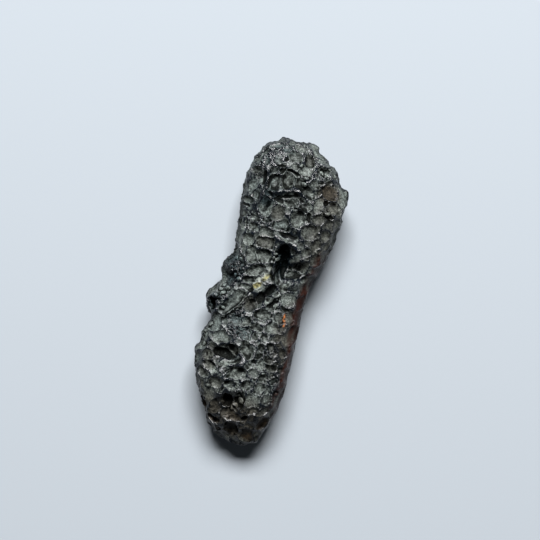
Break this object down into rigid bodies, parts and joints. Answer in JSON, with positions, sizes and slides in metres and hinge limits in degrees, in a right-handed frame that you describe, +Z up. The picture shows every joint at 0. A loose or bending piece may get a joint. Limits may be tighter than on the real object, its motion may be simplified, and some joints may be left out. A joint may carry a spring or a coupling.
{
  "type": "tektite",
  "caption": "Elongated lump of natural black glass, pinched at the waist, scalloped with pits and ridges all over, lying on its worn back",
  "frame": {"origin": "on the ground, below the middle of the stone's bounding box", "axes": "+Y along the stone to its broad end, +X to its smooth brownish flank, +Z up, out of the pitted face"},
  "size_m": [0.0228, 0.0628, 0.014],
  "materials": {
    "tektite_glass": "black natural glass, satin, slightly weathered in the pits"
  },
  "bodies": {
    "root": {"tektite": "tektite_glass"}
  },
  "joints": []
}
